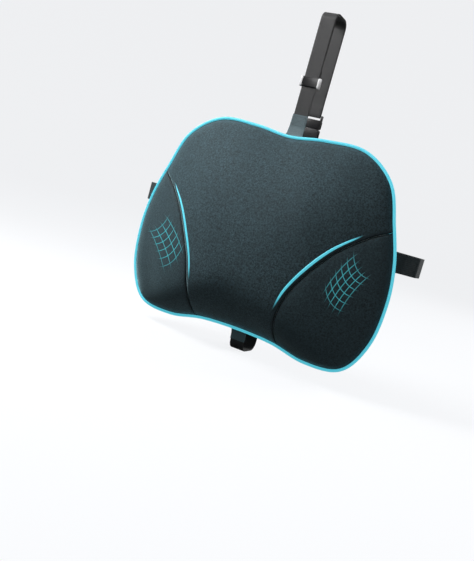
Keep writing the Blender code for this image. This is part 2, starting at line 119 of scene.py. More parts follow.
TURN_R = BAR_R + GAP + WEB_T / 2 + 0.05 * MM      # middle of the band as it turns round a bar


# ======================= materials =======================
class Nodes:
    """Short-hand for one material's node tree."""

    def __init__(self, name):
        self.mat = bpy.data.materials.new(name)
        self.mat.use_nodes = True
        self.tree = self.mat.node_tree
        self.shader = self.tree.nodes["Principled BSDF"]

    def add(self, kind, inputs=(), **settings):
        node = self.tree.nodes.new("ShaderNode" + kind)
        for key, value in settings.items():
            setattr(node, key, value)
        for socket, value in dict(inputs).items():
            self.feed(node.inputs[socket], value)
        return node

    def feed(self, socket, value):
        if isinstance(value, bpy.types.NodeSocket):
            self.tree.links.new(value, socket)
        elif isinstance(value, tuple) and len(value) == 3 and socket.type == "RGBA":
            socket.default_value = (*value, 1.0)
        else:
            socket.default_value = value

    def set(self, **values):
        for socket, value in values.items():
            self.feed(self.shader.inputs[socket.replace("_", " ")], value)
        return self.mat

    def place(self, scale=(1, 1, 1), turn=(0, 0, 0), uv=False):
        source = (self.add("UVMap", uv_map="Run").outputs[0] if uv
                  else self.add("TexCoord").outputs["Object"])
        return self.add("Mapping", {"Vector": source, "Scale": scale, "Rotation": turn}).outputs[0]

    def field(self, name):
        return self.add("Attribute", attribute_name=name).outputs["Fac"]

    def noise(self, scale, detail=2.0, rough=0.5, where=None):
        inputs = {"Vector": where or self.place(), "Scale": scale, "Detail": detail, "Roughness": rough}
        return self.add("TexNoise", inputs).outputs["Fac"]

    def cells(self, scale, where=None, uneven=1.0, **settings):
        inputs = {"Vector": where or self.place(), "Scale": scale, "Randomness": uneven}
        return self.add("TexVoronoi", inputs, feature="F1", **settings).outputs["Distance"]

    def bands(self, scale, direction, where=None, **inputs):
        inputs.update(Vector=where or self.place(), Scale=scale)
        return self.add("TexWave", inputs, wave_type="BANDS", bands_direction=direction).outputs["Fac"]

    def math(self, operation, *values):
        node = self.tree.nodes.new("ShaderNodeMath")
        node.operation = operation
        for socket, value in zip(node.inputs, values):
            self.feed(socket, value)
        return node.outputs[0]

    def sum(self, a, b, share=1.0):
        """a plus a share of b."""
        return self.math("ADD", a, b if share == 1.0 else self.math("MULTIPLY", b, share))

    def span(self, value, low, high, to_low=0.0, to_high=1.0):
        inputs = {"Value": value, "From Min": low, "From Max": high, "To Min": to_low, "To Max": to_high}
        return self.add("MapRange", inputs).outputs[0]

    def mix(self, factor, a, b):
        node = self.tree.nodes.new("ShaderNodeMix")
        node.data_type = "RGBA"
        for socket, value in zip((0, 6, 7), (factor, a, b)):
            self.feed(node.inputs[socket], value)
        return node.outputs[2]

    def tint(self, factor, colour, low, high):
        """From a darker to a lighter shade of one colour."""
        return self.mix(factor, shade(colour, low), shade(colour, high))

    def bump(self, height, strength, distance):
        return self.add("Bump", {"Height": height, "Strength": strength, "Distance": distance}).outputs[0]


def shade(colour, factor):
    return tuple(c * factor for c in colour)


def cover_fabric(name, colour, grain=1.0):
    """Short-nap knit: heathered grain, soft sheen, and painted shade that darkens it along the seam creases.
    """
    n = Nodes(name)
    mottle = n.noise(380, 3.0, 0.85)
    fine = n.noise(1500, 2.0, 0.6)
    drift = n.noise(14, 2.0, 0.5)
    base = n.tint(n.span(mottle, 0.36, 0.64), colour, 1 - 0.72 * grain, 1 + 1.15 * grain)
    base = n.mix(n.span(drift, 0.3, 0.7, 0.0, 0.35), base, shade(colour, 0.82))
    # painted shade: the colour darkens along the wing seams, where the cover dips in and falls into shade
    base = n.mix(n.field("crease_shade"), base, shade(colour, 0.15))
    height = n.sum(fine, n.cells(950, n.place((1, 1, 1.35))), -0.6)
    return n.set(Base_Color=base, Roughness=n.span(mottle, 0.3, 0.7, 0.74, 0.92), Sheen_Weight=0.55,
                 Sheen_Roughness=0.38, Sheen_Tint=(0.55, 0.86, 0.95, 1.0), Specular_IOR_Level=0.3,
                 Normal=n.bump(height, 0.55, 0.00035))


def spacer_mesh(name, colour):
    """Knitted air mesh: rows of small open cells over a darker filling."""
    n = Nodes(name)
    where = n.place((1, 1, 1), (0, 0, math.pi / 4), uv=True)
    opening = n.span(n.cells(400, where, 0.0, voronoi_dimensions="2D"), 0.27, 0.40)
    yarn = n.noise(1300, 2.0, 0.6)
    return n.set(Base_Color=n.mix(opening, shade(colour, 0.12), n.tint(yarn, colour, 0.75, 1.5)),
                 Roughness=n.span(opening, 0, 1, 0.95, 0.7), Sheen_Weight=0.25, Sheen_Roughness=0.4,
                 Specular_IOR_Level=0.35, Normal=n.bump(n.sum(opening, yarn, 0.3), 0.8, 0.0008))


def woven(name, colour, pitch, sheen=0.2, rough=(0.5, 0.75), depth=0.3 * MM, painted_glow=0.0):
    """Plain woven band: interlaced picks along the band's own length."""
    n = Nodes(name)
    picks = n.add("TexBrick", {"Vector": n.place(uv=True), "Scale": 1.0, "Brick Width": pitch * 2.1,
                               "Row Height": pitch, "Mortar Size": pitch * 0.13, "Mortar Smooth": 1.0,
                               "Bias": 0.0, "Color1": shade(colour, 0.88), "Color2": shade(colour, 1.18),
                               "Mortar": shade(colour, 0.5)})
    fibre = n.noise(1.0, 2.0, 0.6, n.place((900, 3500, 900), uv=True))
    body = n.mix(n.span(fibre, 0.25, 0.75, 0.0, 0.5), picks.outputs["Color"], shade(colour, 1.45))
    worn = n.noise(60, 3.0, 0.6)
    body = n.mix(n.span(worn, 0.55, 0.8, 0.0, 0.25), body, shade(colour, 1.3))
    height = n.sum(n.math("MULTIPLY", picks.outputs["Fac"], -1.0), fibre, 0.35)
    n.set(Base_Color=body, Roughness=n.span(fibre, 0, 1, *rough), Sheen_Weight=sheen,
          Sheen_Roughness=0.35, Normal=n.bump(height, 0.7, depth))
    # painted glow: emission makes the band light up though it is no lamp
    if painted_glow:
        n.set(Emission_Color=(*colour, 1.0), Emission_Strength=painted_glow)
    return n.mat


def elastic(name, colour):
    """Knitted elastic: long ribs with fine cross threads."""
    n = Nodes(name)
    place = n.place(uv=True)
    height = n.sum(n.bands(115, "Y", place), n.bands(330, "X", place), 0.35)
    blotch = n.noise(90, 3.0, 0.6)
    body = n.tint(n.span(height, 0.1, 1.2), colour, 0.6, 1.25)
    body = n.mix(n.span(blotch, 0.4, 0.8, 0.0, 0.35), body, shade(colour, 1.4))
    return n.set(Base_Color=body, Roughness=n.span(blotch, 0.3, 0.7, 0.55, 0.75), Sheen_Weight=0.35,
                 Sheen_Roughness=0.35, Normal=n.bump(height, 0.5, 0.00025))


def soft_print(name, colour, ground, painted_glow):
    """Raised soft-touch strip that fades into the fabric at its ends, with a painted glow from emission."""
    n = Nodes(name)
    fade = n.field("fade")
    speck = n.noise(1300, 2.0, 0.6)
    ink = n.tint(n.span(speck, 0.3, 0.7), colour, 0.86, 1.08)
    # painted glow: the ink's colour is also emitted, fading out with the strip
    return n.set(Base_Color=n.mix(fade, ground, ink), Roughness=n.span(speck, 0.3, 0.7, 0.38, 0.55),
                 Normal=n.bump(speck, 0.35, 0.0002),
                 Emission_Color=n.mix(fade, (0.0, 0.0, 0.0), colour), Emission_Strength=painted_glow)


def moulded_plastic(name, colour, rough=(0.28, 0.45)):
    """Injection-moulded nylon: fine spark texture, faint flow marks and scuffs."""
    n = Nodes(name)
    spark = n.noise(2600, 2.0, 0.6)
    flow = n.noise(1.0, 2.0, 0.5, n.place((40, 160, 40)))
    scuff = n.noise(1.0, 4.0, 0.7, n.place((500, 90, 260)))
    base = n.tint(n.span(flow, 0.3, 0.7, 0.0, 0.6), colour, 1.0, 1.6)
    base = n.mix(n.span(scuff, 0.62, 0.76, 0.0, 0.5), base, shade(colour, 3.4))
    return n.set(Base_Color=base, Roughness=n.span(scuff, 0.3, 0.75, *rough), Specular_IOR_Level=0.55,
                 Normal=n.bump(spark, 0.25, 0.00012))


def coated_metal(name, colour, rubbed=(0.42, 0.42, 0.44), metallic=0.9):
    """Coated zinc casting, rubbed brighter in places."""
    n = Nodes(name)
    rub = n.noise(1.0, 4.0, 0.65, n.place((350, 350, 350)))
    return n.set(Base_Color=n.mix(n.span(rub, 0.56, 0.68), colour, rubbed),
                 Roughness=n.span(rub, 0.3, 0.7, 0.45, 0.24), Metallic=metallic,
                 Normal=n.bump(n.noise(1800, 2.0, 0.5), 0.2, 0.0001))


def foam_cells(name, colour):
    """Slow-recovery foam: cut open cells with a few larger pores."""
    n = Nodes(name)
    cells = n.cells(700)
    holes = n.span(n.cells(160), 0.05, 0.16)
    body = n.tint(n.span(cells, 0, 0.6), colour, 0.85, 1.0)
    return n.set(Base_Color=n.mix(holes, shade(colour, 0.45), body),
                 Roughness=n.span(cells, 0, 0.6, 0.98, 0.85), Normal=n.bump(n.sum(cells, holes), 0.6, 0.0006))


def thin_knit(name, colour):
    """Thin stockinette that keeps the foam together."""
    n = Nodes(name)
    wales = n.bands(260, "X", Distortion=1.2, Detail=1.0)
    slub = n.noise(180, 3.0, 0.6)
    return n.set(Base_Color=n.tint(wales, colour, 0.8, 1.0), Roughness=n.span(slub, 0.3, 0.7, 0.8, 0.95),
                 Sheen_Weight=0.2, Normal=n.bump(n.sum(wales, slub), 0.4, 0.0003))


def twisted_thread(name, colour):
    n = Nodes(name)
    ply = n.bands(700, "DIAGONAL", Distortion=2.0)
    return n.set(Base_Color=n.tint(ply, colour, 0.6, 1.3), Roughness=n.span(ply, 0, 1, 0.6, 0.45),
                 Sheen_Weight=0.05, Normal=n.bump(ply, 0.5, 0.0001))


CYAN = (0.10, 0.60, 0.74)
CHARCOAL = (0.0275, 0.0490, 0.0585)
LOOK = {
    "cover": cover_fabric("cover_fabric", CHARCOAL),
    "wing": cover_fabric("wing_fabric", shade(CHARCOAL, 0.92), 0.7),
    "spacer": spacer_mesh("spacer_mesh", (0.040, 0.044, 0.048)),
    # painted glow: the cyan piping emits light, so it looks bright even where it is in shade
    "piping": woven("piping_sleeve", shade(CYAN, 0.6), 0.5 * MM, sheen=0.1, rough=(0.4, 0.6), depth=0.12 * MM,
                    painted_glow=1.2),
    # painted glow on the cyan wing trims and the grid print
    "trim": soft_print("trim_strip", shade(CYAN, 0.65), shade(CHARCOAL, 0.9), 1.1),
    "print": soft_print("grid_print", (0.055, 0.42, 0.48), shade(CHARCOAL, 0.9), 0.34),
    "web": woven("webbing", (0.025, 0.025, 0.026), 1.15 * MM),
    # painted light: the tabs' teal grey is the cover fabric's colour made lighter, as it looks when lit from
    # above
    "tab": woven("tab_webbing_painted_lit", (0.085, 0.125, 0.14), 0.8 * MM, sheen=0.3),
    "belt": elastic("elastic_belt", (0.016, 0.029, 0.033)),
    "plastic": moulded_plastic("moulded_plastic", (0.010, 0.010, 0.011)),
    # painted highlight: the strap slider's cheeks are light grey with little metal, so they look bright from
    # any side
    "cheek_highlight": coated_metal("cheek_painted_highlight", (0.72, 0.72, 0.73), (0.84, 0.84, 0.85), 0.25),
    "zip": woven("zip_tape", (0.016, 0.017, 0.019), 0.6 * MM, depth=0.15 * MM),
    "coil": moulded_plastic("zip_coil_nylon", (0.014, 0.014, 0.016), (0.3, 0.5)),
    "zip_metal": coated_metal("zip_metal", (0.07, 0.07, 0.075)),
    "foam": foam_cells("foam_cells", (0.64, 0.60, 0.49)),
    "liner": thin_knit("liner_knit", (0.58, 0.59, 0.58)),
    "thread": twisted_thread("dark_thread", (0.009, 0.012, 0.014)),
    "web_thread": twisted_thread("webbing_thread", (0.035, 0.035, 0.037)),
}


# ======================= mesh helpers =======================
def add_object(name, data):
    obj = bpy.data.objects.new(name, data)
    bpy.context.scene.collection.objects.link(obj)
    return obj


def make_mesh(name, verts, faces, outward=True):
    """Mesh of these vertices and faces; outward turns the faces that way."""
    mesh = bpy.data.meshes.new(name)
    mesh.from_pydata([tuple(map(float, v)) for v in verts], [], faces)
    if outward:
        bm = bmesh.new()
        bm.from_mesh(mesh)
        bmesh.ops.recalc_face_normals(bm, faces=bm.faces)
        bm.to_mesh(mesh)
        bm.free()
    return mesh


def new_piece(name, verts, faces, look, body="cushion", smooth=40):
    mesh = make_mesh(name, verts, faces)
    mesh.shade_smooth()
    mesh.set_sharp_from_angle(angle=math.radians(smooth))
    mesh.materials.append(LOOK[look])
    obj = add_object(name, mesh)
    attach(obj, body)
    return obj


def tube_faces(rings, size, first=0, closed=False, capped=True):
    """Quads along a row of vertex rings, the first at vertex first, then the two end faces."""
    faces = []
    for i in range(rings if closed else rings - 1):
        a, b = first + i * size, first + (i + 1) % rings * size
        faces += [(a + k, a + (k + 1) % size, b + (k + 1) % size, b + k) for k in range(size)]
    if capped:
        last = first + (rings - 1) * size
        faces += [tuple(range(first, first + size)), tuple(range(last + size - 1, last - 1, -1))]
    return faces


def closed_shell(front, back, faces, rim):
    """Front and back skins, joined along the rim that their first points make."""
    index = [i if i < rim else len(front) + i - rim for i in range(len(front))]
    return np.vstack([front, back[rim:]]), faces + [tuple(index[i] for i in reversed(f)) for f in faces]


def set_uv(obj, coords):
    """Give each corner the (u, v) of its vertex, in metres along and across."""
    layer = obj.data.uv_layers.new(name="Run")
    index = np.zeros(len(obj.data.loops), int)
    obj.data.loops.foreach_get("vertex_index", index)
    layer.data.foreach_set("uv", np.asarray(coords, np.float32)[index].ravel())


def set_field(obj, name, values):
    """One number per vertex, for the material to read."""
    layer = obj.data.attributes.new(name, "FLOAT", "POINT")
    layer.data.foreach_set("value", np.asarray(values, np.float32))


def apply_modifiers(obj):
    """Keep the mesh as its modifiers leave it."""
    bpy.context.view_layer.update()
    graph = bpy.context.evaluated_depsgraph_get()
    mesh = bpy.data.meshes.new_from_object(obj.evaluated_get(graph))
    old = obj.data
    obj.modifiers.clear()
    obj.data = mesh
    mesh.name = old.name
    bpy.data.meshes.remove(old)


def smooth_step(t):
    t = np.clip(t, 0.0, 1.0)
    return t * t * (3 - 2 * t)


def bell(distance, width):
    return np.exp(-(distance / width) ** 2)


def neighbours(field):
    """Sum of the four values next to each one on a grid."""
    return np.roll(field, 1, 0) + np.roll(field, -1, 0) + np.roll(field, 1, 1) + np.roll(field, -1, 1)


def lengths_along(line):
    """How far along a line each of its points is."""
    return np.concatenate([[0], np.cumsum(np.linalg.norm(np.diff(line, axis=0), axis=1))])


def smooth_curve(points, steps, closed):
    """Catmull-Rom curve through the points."""
    pts = [np.array(p, float) for p in points]
    count = len(pts)
    if not closed:
        pts = [2 * pts[0] - pts[1]] + pts + [2 * pts[-1] - pts[-2]]
    curve = []
    for i in range(count if closed else count - 1):
        if closed:
            p0, p1, p2, p3 = (pts[(i + k) % count] for k in (-1, 0, 1, 2))
        else:
            p0, p1, p2, p3 = pts[i:i + 4]
        for t in np.arange(steps) / steps:
            curve.append(0.5 * (2 * p1 + (p2 - p0) * t + (2 * p0 - 5 * p1 + 4 * p2 - p3) * t ** 2
                                + (3 * p1 - p0 - 3 * p2 + p3) * t ** 3))
    if not closed:
        curve.append(pts[-2])
    return np.array(curve)


def evenly(line, pitch, closed=False):
    """The same line with points an even distance apart."""
    line = np.asarray(line, float)
    run = np.vstack([line, line[:1]]) if closed else line
    reach = lengths_along(run)
    count = max(2, int(round(reach[-1] / pitch)))
    at = np.linspace(0, reach[-1], count + 1)
    if closed:
        at = at[:-1]
    return np.stack([np.interp(at, reach, run[:, k]) for k in range(run.shape[1])], axis=1)


def sideways(line, closed=False):
    """Unit normal of a plane line at each point, to the right of its direction."""
    way = (np.roll(line, -1, axis=0) - np.roll(line, 1, axis=0)) if closed else np.gradient(line, axis=0)
    normal = np.stack([way[:, 1], -way[:, 0]], axis=1)
    return normal / np.linalg.norm(normal, axis=1, keepdims=True)


def nearest_on(line, points, closed=False):
    """Distance from each point to a plane line, and how far along the line that is."""
    a = line if closed else line[:-1]
    b = np.roll(line, -1, axis=0) if closed else line[1:]
    ab = b - a
    lengths = np.linalg.norm(ab, axis=1)
    starts = np.concatenate([[0], np.cumsum(lengths)[:-1]])
    gap, along = np.zeros(len(points)), np.zeros(len(points))
    for rows in np.array_split(np.arange(len(points)), 1 + len(points) // 2000):
        p = points[rows][:, None, :]
        t = np.clip(((p - a) * ab).sum(2) / lengths ** 2, 0, 1)
        apart = np.linalg.norm(p - (a + ab * t[..., None]), axis=2)
        k = apart.argmin(axis=1)
        each = np.arange(len(rows))
        gap[rows] = apart[each, k]
        along[rows] = starts[k] + t[each, k] * lengths[k]
    return gap, along


def inside(loop, points):
    """True for the points within a closed plane loop."""
    x, z = points[:, 0], points[:, 1]
    odd = np.zeros(len(points), bool)
    for (ax, az), (bx, bz) in zip(loop, np.roll(loop, -1, axis=0)):
        if az != bz:
            odd ^= ((az > z) != (bz > z)) & (x < (bx - ax) * (z - az) / (bz - az) + ax)
    return odd


def fill_outline(loop, pitch, rows, holes=()):
    """Even triangles inside a closed plane loop, in rows that follow its edge."""
    loops = [loop, *holes]
    points, edges = [], []
    for ring in loops:
        base = len(points)
        points += list(ring)
        edges += [(base + i, base + (i + 1) % len(ring)) for i in range(len(ring))]

    def clearance(candidates):
        return np.min([nearest_on(ring, candidates, True)[0] for ring in loops], axis=0)

    def within(candidates):
        keep = inside(loop, candidates)
        for hole in holes:
            keep &= ~inside(hole, candidates)
        return keep

    for ring in loops:
        for depth in rows:
            for side in (-1, 1):
                row = ring + sideways(ring, True) * depth * side
                row = row[within(row)]
                if len(row):
                    points += list(row[clearance(row) > depth * 0.97])
    low, high = loop.min(axis=0), loop.max(axis=0)
    count_z = int((high[1] - low[1]) / (pitch * 0.866)) + 2
    grid = [(low[0] + (i + 0.5 * (k % 2)) * pitch, low[1] + k * pitch * 0.866)
            for k in range(count_z) for i in range(int((high[0] - low[0]) / pitch) + 2)]
    grid = np.array(grid)
    grid = grid[within(grid)]
    edge = (rows[-1] if rows else 0.0) + 0.6 * pitch
    points += list(grid[clearance(grid) > edge])
    verts, _, faces, *_ = delaunay_2d_cdt([Vector(p) for p in points], edges, [], 1, 1e-7)
    flat = np.array([tuple(v) for v in verts])
    faces = [tuple(f) for f in faces]
    if holes:
        middle = np.array([flat[list(f)].mean(axis=0) for f in faces])
        keep = within(middle)
        faces = [f for f, k in zip(faces, keep) if k]
    return flat, faces


# ======================= the cushion's shape =======================
SIDES = ((-1, "left"), (1, "right"))
OUTLINE_TOP, OUTLINE_SIDE, OUTLINE_BOTTOM = (0.0, 0.159), (0.220, -0.044), (0.0, -0.150)


def cushion_outline():
    right = [(x * MM, z * MM) for x, z in HALF_OUTLINE]
    left = [(-x, z) for x, z in reversed(right[1:-1])]
    return smooth_curve(right + left, 14, closed=True)


OUTLINE = cushion_outline()
SEAMS = {side: smooth_curve([(side * x * MM, z * MM) for x, z in WING_SEAM], 12, closed=False)
         for side in (-1, 1)}


def outline_at(distance):
    """The outline moved outwards by a distance."""
    return OUTLINE + sideways(OUTLINE, True) * distance


def outline_gap(points):
    return nearest_on(OUTLINE, points, True)[0]


def seam_gap(points):
    """Distance from each point to the nearer wing seam."""
    return np.min([nearest_on(seam, points)[0] for seam in SEAMS.values()], axis=0)


def radial_share(points):
    """0 at the apex and 1 on the outline, along straight spokes."""
    spokes = OUTLINE - APEX
    bearing = np.arctan2(spokes[:, 1], spokes[:, 0])
    order = np.argsort(bearing)
    offset = points - APEX
    reach = np.interp(np.arctan2(offset[:, 1], offset[:, 0]), bearing[order],
                      np.linalg.norm(spokes, axis=1)[order], period=2 * math.pi)
    return np.linalg.norm(offset, axis=1) / reach


class CrownMap:
    """The front's height over the seam plane, and the cloth's swell, on an even grid of X and Z."""
    STEP = 2 * MM
    LOW = np.array([-236, -180]) * MM
    SIZE = (237, 181)

    def __init__(self):
        x = self.LOW[0] + self.STEP * np.arange(self.SIZE[0])
        z = self.LOW[1] + self.STEP * np.arange(self.SIZE[1])
        points = np.stack(np.meshgrid(x, z, indexing="ij"), axis=-1).reshape(-1, 2)
        within = inside(OUTLINE, points)
        sharp = np.where(within, FRONT_CROWN * (1 - np.minimum(radial_share(points), 1) ** CROWN_POWER), 0.0)
        soft = sharp.reshape(self.SIZE).copy()
        mask = within.reshape(self.SIZE)
        for _ in range(70):       # rounds off the ridges that the spokes leave
            soft = np.where(mask, 0.25 * neighbours(soft), 0.0)
        share = smooth_step(outline_gap(points) / (12 * MM))
        self.height = (soft.ravel() * share + sharp * (1 - share)).reshape(self.SIZE)
        self.swell = np.zeros(self.SIZE)
        self.points = points

    def read(self, field, points):
        spot = (points - self.LOW) / self.STEP
        cell = np.clip(np.floor(spot).astype(int), 0, np.array(self.SIZE) - 2)
        t = np.clip(spot - cell, 0, 1)
        i, k = cell[:, 0], cell[:, 1]
        return (field[i, k] * (1 - t[:, 0]) * (1 - t[:, 1]) + field[i + 1, k] * t[:, 0] * (1 - t[:, 1])
                + field[i, k + 1] * (1 - t[:, 0]) * t[:, 1] + field[i + 1, k + 1] * t[:, 0] * t[:, 1])


def ripple(x, periods, seed):
    """Smooth uneven wave between about -1 and 1, from a few sines."""
    rng = np.random.default_rng(seed)
    total = sum(np.sin(2 * math.pi * x / p + rng.uniform(0, 6.28)) for p in periods)
    return total / len(periods)


CROWN = CrownMap()


def padding(points, crown_share=1.0):
    """Height of the padded front over the seam plane, without its seams."""
    gap, along = nearest_on(OUTLINE, points, True)
    round_edge = 4.5 * MM * (gap / (13 * MM)) * np.exp(1 - gap / (13 * MM))
    height = CROWN.read(CROWN.height, points) * crown_share + round_edge * crown_share
    return height, gap, along


def front_height(points):
    """Height of the cover's front, with seam creases, gathers and the cloth's swell."""
    height, gap, along = padding(points)
    height = height + CROWN.read(CROWN.swell, points)
    gathers = ripple(along, mm(11, 17, 7.3), 3)
    height += 0.45 * MM * gathers * np.exp(-gap / (9 * MM)) * smooth_step(gap / (3 * MM))
    for side, seam in SEAMS.items():
        apart, run = nearest_on(seam, points)
        height -= 1.5 * MM * np.exp(-apart / (9 * MM)) * smooth_step(gap / (8 * MM))
        height -= 2.0 * MM * bell(apart, 2.0 * MM) * smooth_step(gap / (5 * MM))
        puckers = ripple(run, mm(8, 12.5), 5 + side)
        height += 0.22 * MM * puckers * np.exp(-apart / (7 * MM)) * smooth_step(apart / (2 * MM))
    waves = ripple(points[:, 0] + 0.4 * points[:, 1], mm(83, 57), 11)
    return height + 0.5 * MM * waves * smooth_step(gap / (30 * MM))


def front_points(points):
    """Plane points lifted onto the front of the cover."""
    y = SEAM_Y - GAP / 2 - front_height(points)
    return np.stack([points[:, 0], y, points[:, 1]], axis=1)


def back_points(points, depth=0.0):
    """Plane points laid on the back: flat, with a quarter-round rim."""
    gap, along = nearest_on(OUTLINE, points, True)
    gap = np.where(inside(OUTLINE, points), gap, 0.0)
    share = 1 - np.clip(gap / BACK_BEVEL, 0, 1)
    y = SEAM_Y + GAP / 2 + (-SEAM_Y - GAP / 2 - depth) * np.sqrt(np.clip(1 - share ** 2, 0, 1))
    gathers = ripple(along, mm(14, 23), 8)
    y += 0.4 * MM * gathers * np.exp(-gap / (10 * MM)) * smooth_step(gap / (3 * MM))
    return np.stack([points[:, 0], np.minimum(y, 0.0), points[:, 1]], axis=1)


# ---- cloth simulation of the padded front --------------------------------
SIM_PITCH = 5.5 * MM
SIM_START = 0.955         # the pad swells, so it starts a little smaller
SIM_CAP = 6.0 * MM
SIM_FRAMES = 20
CLOTH = {"quality": 5, "mass": 0.3, "tension_stiffness": 15, "compression_stiffness": 15,
         "shear_stiffness": 5, "bending_stiffness": 0.6, "use_pressure": True,
         "uniform_pressure_force": 4.0, "vertex_group_mass": "held"}


def inflate(verts, faces, hold):
    """Blow a closed mesh up with Blender's cloth, pinned by hold. Gives its moved points."""
    scene = bpy.context.scene
    obj = add_object("cloth_run", make_mesh("cloth_run", verts, faces))
    group = obj.vertex_groups.new(name="held")
    for i, weight in enumerate(hold):
        group.add([i], float(weight), "REPLACE")
    cloth = obj.modifiers.new("Cloth", "CLOTH")
    for key, value in CLOTH.items():
        setattr(cloth.settings, key, value)
    cloth.settings.effector_weights.gravity = 0.0
    cloth.point_cache.frame_start = 1
    cloth.point_cache.frame_end = SIM_FRAMES
    for f in range(1, SIM_FRAMES + 1):
        scene.frame_set(f)
    done = obj.evaluated_get(bpy.context.evaluated_depsgraph_get()).to_mesh()
    moved = np.zeros(len(verts) * 3)
    done.vertices.foreach_get("co", moved)
    scene.frame_set(1)
    bpy.data.objects.remove(obj, do_unlink=True)
    return moved.reshape(-1, 3)


def on_crown_grid(flat, faces, values):
    """Values at the plane points, blended over their triangles onto the crown's grid."""
    tree = BVHTree.FromPolygons([(p[0], 0.0, p[1]) for p in flat], faces)
    field = np.zeros(len(CROWN.points))
    for k in np.flatnonzero(inside(OUTLINE, CROWN.points)):
        x, z = CROWN.points[k]
        spot, _, face, _ = tree.find_nearest((x, 0.0, z))
        corners = list(faces[face])
        weight = 1 / (np.linalg.norm(flat[corners] - (spot.x, spot.z), axis=1) + 0.3 * MM)
        field[k] = (values[corners] * weight).sum() / weight.sum()
    return field.reshape(CROWN.SIZE)


def simulate_cover():
    """Inflate the cover over its pinned edge and seams, and keep how far it swells."""
    loop = evenly(OUTLINE, SIM_PITCH, closed=True)
    flat, faces = fill_outline(loop, SIM_PITCH, ())
    rim = len(loop)
    height = padding(flat, SIM_START)[0]
    height[:rim] = 0.0
    front = np.stack([flat[:, 0], SEAM_Y - height, flat[:, 1]], axis=1)
    verts, shell = closed_shell(front, back_points(flat), faces, rim)
    free = smooth_step((outline_gap(flat) - 3 * MM) / (9 * MM)) * (1 - 0.85 * bell(seam_gap(flat), 4.5 * MM))
    free[:rim] = 0.0
    hold = np.ones(len(verts))
    hold[:len(flat)] = 1 - free
    moved = inflate(verts, shell, hold)[:len(flat)]
    swell = np.clip(SEAM_Y - moved[:, 1] - padding(flat)[0], -SIM_CAP, SIM_CAP)
    swell[:rim] = 0.0
    field = on_crown_grid(flat, faces, swell)
    for _ in range(6):
        field = 0.5 * field + 0.125 * neighbours(field)
    CROWN.swell = field


# ---- covers --------------------------------------------------------------
def crossing(seam, loop):
    """The part of a seam within the outline, and where it meets the outline."""
    keep = np.flatnonzero(inside(loop, seam))
    first, last = keep[0], keep[-1]

    def meet(a, b):
        for _ in range(30):
            mid = (a + b) / 2
            if inside(loop, mid[None])[0]:
                a = mid
            else:
                b = mid
        return (a + b) / 2

    start = meet(seam[first], seam[first - 1])
    end = meet(seam[last], seam[last + 1])
    return np.vstack([start, seam[first:last + 1], end])


def outline_part(loop, start, end, through):
    """The stretch of the outline from start to end that passes nearest to through."""
    a = np.linalg.norm(loop - start, axis=1).argmin()
    b = np.linalg.norm(loop - end, axis=1).argmin()
    n = len(loop)
    ahead = [loop[(a + i) % n] for i in range((b - a) % n + 1)]
    behind = [loop[(a - i) % n] for i in range((a - b) % n + 1)]
    best = min((ahead, behind), key=lambda run: np.linalg.norm(np.array(run) - through, axis=1).min())
    best = [p for p in best if min(np.linalg.norm(p - start), np.linalg.norm(p - end)) > 1.0 * MM]
    return np.array(best)


def cover_panel(name, loop, look, node):
    flat, faces = fill_outline(loop, PANEL_PITCH, PANEL_ROWS)
    obj = new_piece(name, front_points(flat), faces, look)
    # painted shade: how strongly the fabric is darkened next to a wing seam
    set_field(obj, "crease_shade", 0.95 * bell(seam_gap(flat), 2.4 * MM))
    thicken(obj, COVER)
    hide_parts(node)


def thicken(obj, thickness):
    """Turn an open skin into a closed one, keeping its outer face."""
    outward = np.mean([p.normal.y for p in obj.data.polygons])
    front = np.mean([v.co.y for v in obj.data.vertices]) < SEAM_Y
    if (outward > 0) == front:
        obj.data.flip_normals()
    solid = obj.modifiers.new("Solidify", "SOLIDIFY")
    solid.thickness = thickness
    solid.offset = -1.0
    apply_modifiers(obj)


def make_covers():
    loop = evenly(outline_at(EDGE_REACH), 2.4 * MM, closed=True)
    seams = {side: evenly(crossing(SEAMS[side], loop), 2.4 * MM) for side in (-1, 1)}
    left, right = seams[-1], seams[1]
    top = outline_part(loop, right[0], left[0], OUTLINE_TOP)
    bottom = outline_part(loop, left[-1], right[-1], OUTLINE_BOTTOM)
    centre_loop = shrink(np.vstack([top, left, bottom, right[::-1]]), GAP / 2)
    cover_panel("cover_center", centre_loop, "cover", "cover_center_panel")
    for side, label in SIDES:
        seam = seams[side]
        outer = outline_part(loop, seam[-1], seam[0], (side * OUTLINE_SIDE[0], OUTLINE_SIDE[1]))
        wing_loop = shrink(np.vstack([seam, outer]), GAP / 2)
        cover_panel("cover_wing_" + label + "_fabric", wing_loop, "wing", "cover_wing_" + label)


def shrink(loop, distance):
    """Draw a closed loop in by a small distance."""
    side = sideways(loop, True)
    if not inside(loop, (loop + side * 0.5 * MM)[:1])[0]:
        side = -side
    return loop + side * distance


def rounded_slot(half_x, half_z, middle_z, radius, steps=5):
    points = []
    for quarter, (right, up) in enumerate(((1, 1), (-1, 1), (-1, -1), (1, -1))):
        for k in range(steps + 1):
            angle = math.radians(90 * quarter + 90 * k / steps)
            points.append((right * half_x - right * radius + radius * math.cos(angle),
                           middle_z + up * half_z - up * radius + radius * math.sin(angle)))
    return np.array(points)


